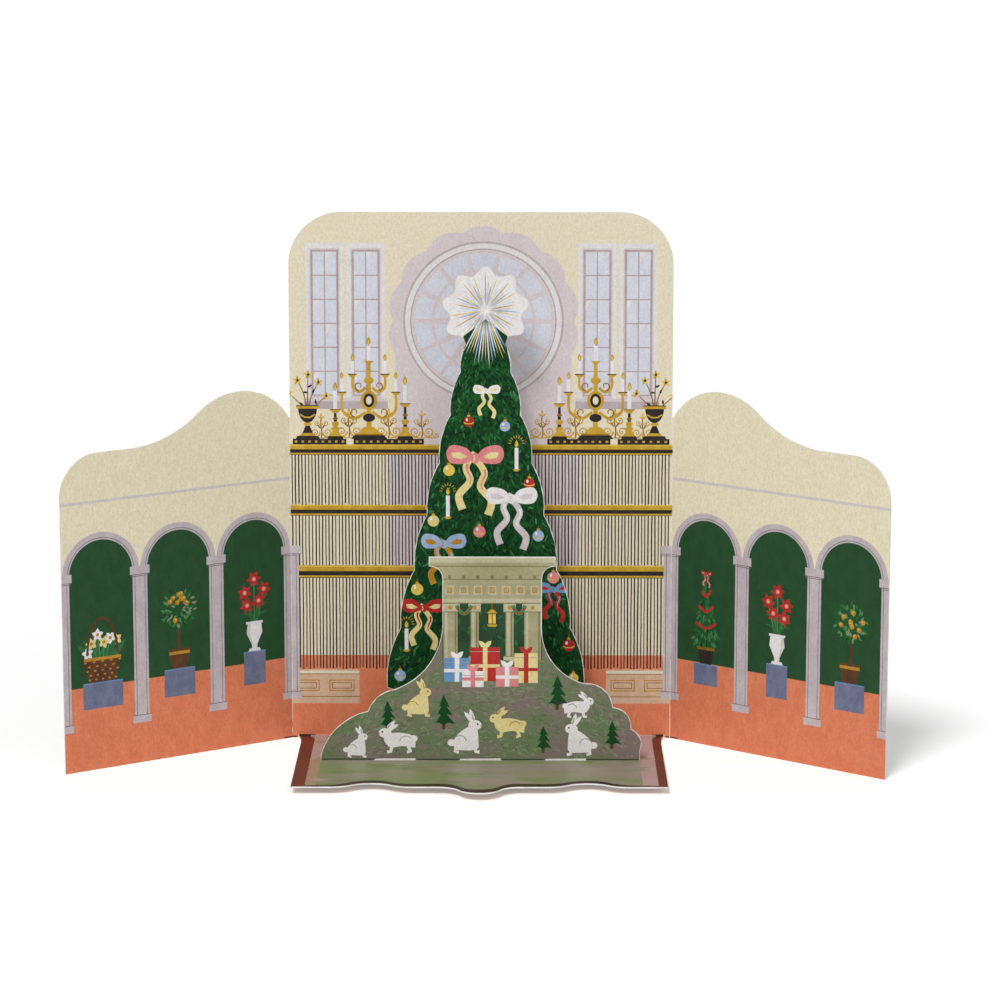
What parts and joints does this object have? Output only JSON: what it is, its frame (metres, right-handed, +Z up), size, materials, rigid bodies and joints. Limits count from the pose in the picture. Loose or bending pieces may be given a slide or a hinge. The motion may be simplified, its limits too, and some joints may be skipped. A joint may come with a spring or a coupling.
{
  "type": "pop up card",
  "caption": "Free-standing pop-up greeting card: a folded sheet with a tall back panel, side wings and a floor flap that carries a die-cut tree and hill on tabs and struts.",
  "frame": {"origin": "middle of the card's footprint, on the table", "axes": "+X to the right along the back panel, +Y away from the viewer through the panel, +Z up"},
  "size_m": [0.2666, 0.0794, 0.1782],
  "materials": {
    "printed_sheet": "uncoated white card, printed on the front with cream, green and terracotta fields, satin",
    "printed_tree": "white card printed dark green on the front, satin, with a white cut edge",
    "printed_hill": "white card printed mossy green and stone grey on the front, satin, with a white cut edge",
    "plain_card": "plain white uncoated card"
  },
  "bodies": {
    "root": {"card_sheet": "printed_sheet", "tree_layer": "printed_tree", "hill_layer": "printed_hill", "tree_strut": "plain_card", "hill_strut_left": "plain_card", "hill_strut_right": "plain_card"}
  },
  "joints": []
}
